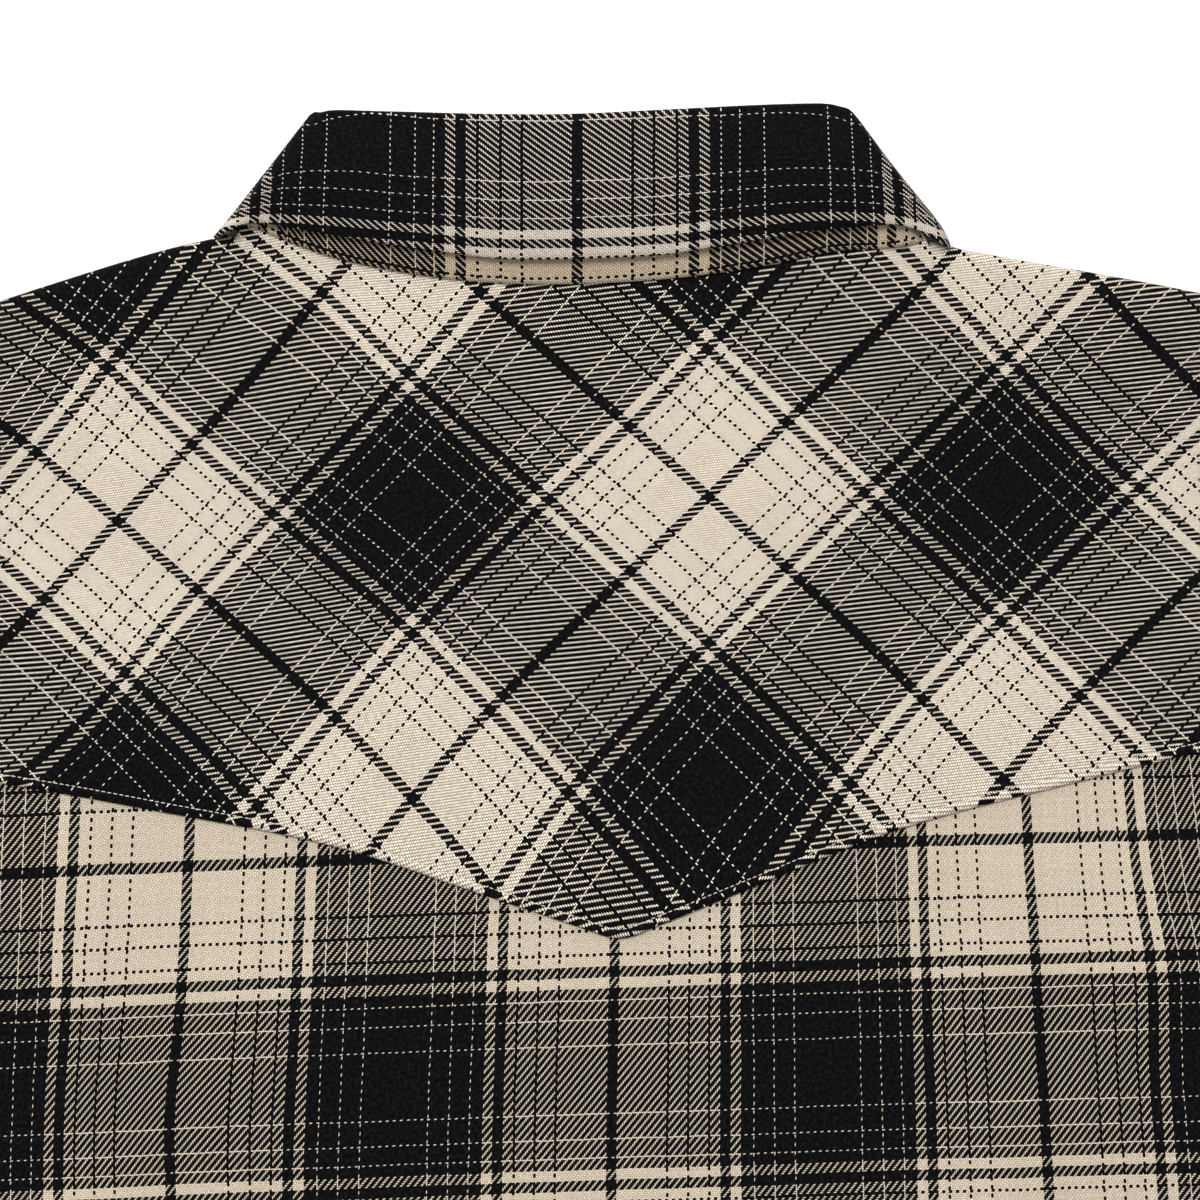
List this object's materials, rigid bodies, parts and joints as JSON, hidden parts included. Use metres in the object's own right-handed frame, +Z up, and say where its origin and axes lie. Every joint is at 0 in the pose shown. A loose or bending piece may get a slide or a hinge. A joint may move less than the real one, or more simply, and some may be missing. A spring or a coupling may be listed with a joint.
{
  "type": "western snap shirt",
  "caption": "Long-sleeved checked western shirt with a pointed back yoke, snapped shut and laid flat on its front.",
  "frame": {"origin": "on the surface under the middle of the laid shirt's bounding box", "axes": "+Z up from the surface, out of the shirt's back; +Y towards the collar; +X towards the wearer's right sleeve"},
  "size_m": [1.487, 0.7966, 0.014],
  "materials": {
    "body_flannel": "brushed cotton twill in a black and cream check, straight grain",
    "yoke_flannel": "the same cloth cut on the bias",
    "collar_flannel": "the same cloth, interlined, with its warp along the collar",
    "pearl_snap": "pearly cap"
  },
  "bodies": {
    "root": {"back": "body_flannel", "back_yoke": "yoke_flannel", "collar_fall": "collar_flannel", "collar_stand": "collar_flannel", "cuff_left": "yoke_flannel", "cuff_right": "yoke_flannel", "front_left": "body_flannel", "front_placket": "yoke_flannel", "front_right": "body_flannel", "sleeve_left": "body_flannel", "sleeve_placket_left": "body_flannel", "sleeve_placket_right": "body_flannel", "sleeve_right": "body_flannel", "snap_collar": "pearl_snap", "snap_cuff_left_1": "pearl_snap", "snap_cuff_left_2": "pearl_snap", "snap_cuff_right_1": "pearl_snap", "snap_cuff_right_2": "pearl_snap", "snap_front_1": "pearl_snap", "snap_front_2": "pearl_snap", "snap_front_3": "pearl_snap", "snap_front_4": "pearl_snap", "snap_front_5": "pearl_snap", "snap_front_6": "pearl_snap", "snap_front_7": "pearl_snap", "snap_sleeve_left": "pearl_snap", "snap_sleeve_right": "pearl_snap"}
  },
  "joints": []
}
